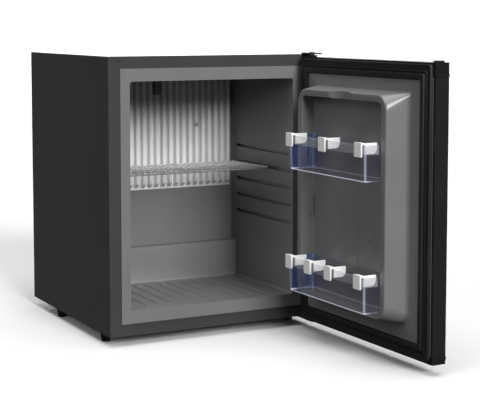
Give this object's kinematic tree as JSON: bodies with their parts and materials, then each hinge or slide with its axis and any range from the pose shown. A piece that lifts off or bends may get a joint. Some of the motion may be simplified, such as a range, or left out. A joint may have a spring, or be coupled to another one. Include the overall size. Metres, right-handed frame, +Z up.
{
  "type": "minibar fridge",
  "caption": "Free-standing absorption minibar fridge with its hinged door open, a wire shelf in moulded grooves, clear door bins with sliding bottle clips and a cooling unit behind",
  "frame": {"origin": "on the floor, under the middle of the footprint with the door open", "axes": "+X to the right as seen from the front, the side where the door hangs; +Y from the front to the back; +Z up"},
  "size_m": [0.4101, 0.8154, 0.511],
  "materials": {
    "coated_steel": "fine-textured black powder coat",
    "moulded_liner": "vacuum-formed grey plastic, satin",
    "silver_plate": "pressed plate with a silver lacquer",
    "black_plastic": "moulded black plastic",
    "gasket_rubber": "soft black magnetic gasket",
    "foam": "rigid polyurethane foam, hidden",
    "zinc_steel": "zinc-plated steel",
    "unit_steel": "black-painted steel tube",
    "chromed_wire": "chromed steel wire",
    "clear_blue_plastic": "clear plastic with a blue tint",
    "white_plastic": "white moulded plastic"
  },
  "bodies": {
    "cabinet": {"cabinet_wrap": "coated_steel", "base_panel": "coated_steel", "top_hinge_bracket": "coated_steel", "bottom_hinge_bracket": "coated_steel", "inner_liner": "moulded_liner", "evaporator_plate": "silver_plate", "sensor_clip": "black_plastic", "drain_tube": "black_plastic", "drip_cup": "black_plastic", "front_left_foot": "black_plastic", "front_right_foot": "black_plastic", "rear_left_foot": "black_plastic", "rear_right_foot": "black_plastic", "hinge_hole_cover": "black_plastic", "control_box": "black_plastic", "power_inlet": "black_plastic", "insulation_foam": "foam", "back_panel": "zinc_steel", "evaporator_screw": "zinc_steel", "top_hinge_pin": "zinc_steel", "bottom_hinge_pin": "zinc_steel", "top_bracket_screw_upper": "zinc_steel", "top_bracket_screw_lower": "zinc_steel", "bottom_bracket_screw_front": "zinc_steel", "bottom_bracket_screw_rear": "zinc_steel", "boiler_jacket": "zinc_steel", "heater_cartridge": "zinc_steel", "upper_unit_strap": "zinc_steel", "lower_unit_strap": "zinc_steel", "vapour_pipe": "unit_steel", "condenser": "unit_steel", "absorber_coil": "unit_steel", "absorber_vessel": "unit_steel", "return_pipe": "unit_steel"},
    "door": {"door_panel": "coated_steel", "door_liner": "moulded_liner", "door_foam": "foam", "door_gasket": "gasket_rubber", "door_top_cap": "black_plastic", "door_bottom_cap": "black_plastic", "door_top_bush": "white_plastic", "door_bottom_bush": "white_plastic", "door_top_plug": "black_plastic", "door_bottom_plug": "black_plastic"},
    "shelf": {"wire_shelf": "chromed_wire"},
    "upper_bin": {"upper_bin": "clear_blue_plastic"},
    "lower_bin": {"lower_bin": "clear_blue_plastic"},
    "thermostat_knob": {"thermostat_knob": "black_plastic"},
    "upper_clip_1": {"upper_clip_1": "white_plastic"},
    "upper_clip_2": {"upper_clip_2": "white_plastic"},
    "upper_clip_3": {"upper_clip_3": "white_plastic"},
    "lower_clip_1": {"lower_clip_1": "white_plastic"},
    "lower_clip_2": {"lower_clip_2": "white_plastic"},
    "lower_clip_3": {"lower_clip_3": "white_plastic"},
    "lower_clip_4": {"lower_clip_4": "white_plastic"}
  },
  "joints": [
    {"name": "door_hinge", "type": "hinge", "parent": "cabinet", "child": "door", "pos_m": [0.1883, -0.01745, 0.262], "axis": [0, 0, 1], "range_deg": [-91, 34]},
    {"name": "shelf_slide", "type": "slide", "parent": "cabinet", "child": "shelf", "axis": [0, -1, 0], "range_m": [0, 0.075]},
    {"name": "upper_bin_lift", "type": "slide", "parent": "door", "child": "upper_bin", "axis": [0, 0, 1], "range_m": [0, 0.038]},
    {"name": "lower_bin_lift", "type": "slide", "parent": "door", "child": "lower_bin", "axis": [0, 0, 1], "range_m": [0, 0.038]},
    {"name": "upper_clip_1_slide", "type": "slide", "parent": "upper_bin", "child": "upper_clip_1", "axis": [-0.0175, 0.9998, 0], "range_m": [-0.0845, 0]},
    {"name": "upper_clip_2_slide", "type": "slide", "parent": "upper_bin", "child": "upper_clip_2", "axis": [-0.0175, 0.9998, 0], "range_m": [-0.088, 0.0845]},
    {"name": "upper_clip_3_slide", "type": "slide", "parent": "upper_bin", "child": "upper_clip_3", "axis": [-0.0175, 0.9998, 0], "range_m": [0, 0.088]},
    {"name": "lower_clip_1_slide", "type": "slide", "parent": "lower_bin", "child": "lower_clip_1", "axis": [-0.0175, 0.9998, 0], "range_m": [-0.041, 0]},
    {"name": "lower_clip_2_slide", "type": "slide", "parent": "lower_bin", "child": "lower_clip_2", "axis": [-0.0175, 0.9998, 0], "range_m": [-0.043, 0.041]},
    {"name": "lower_clip_3_slide", "type": "slide", "parent": "lower_bin", "child": "lower_clip_3", "axis": [-0.0175, 0.9998, 0], "range_m": [-0.0675, 0.043]},
    {"name": "lower_clip_4_slide", "type": "slide", "parent": "lower_bin", "child": "lower_clip_4", "axis": [-0.0175, 0.9998, 0], "range_m": [0, 0.0675]},
    {"name": "thermostat_turn", "type": "hinge", "parent": "cabinet", "child": "thermostat_knob", "pos_m": [-0.1465, 0.35885, 0.044], "axis": [0, 1, 0], "range_deg": [-140, 140]}
  ]
}
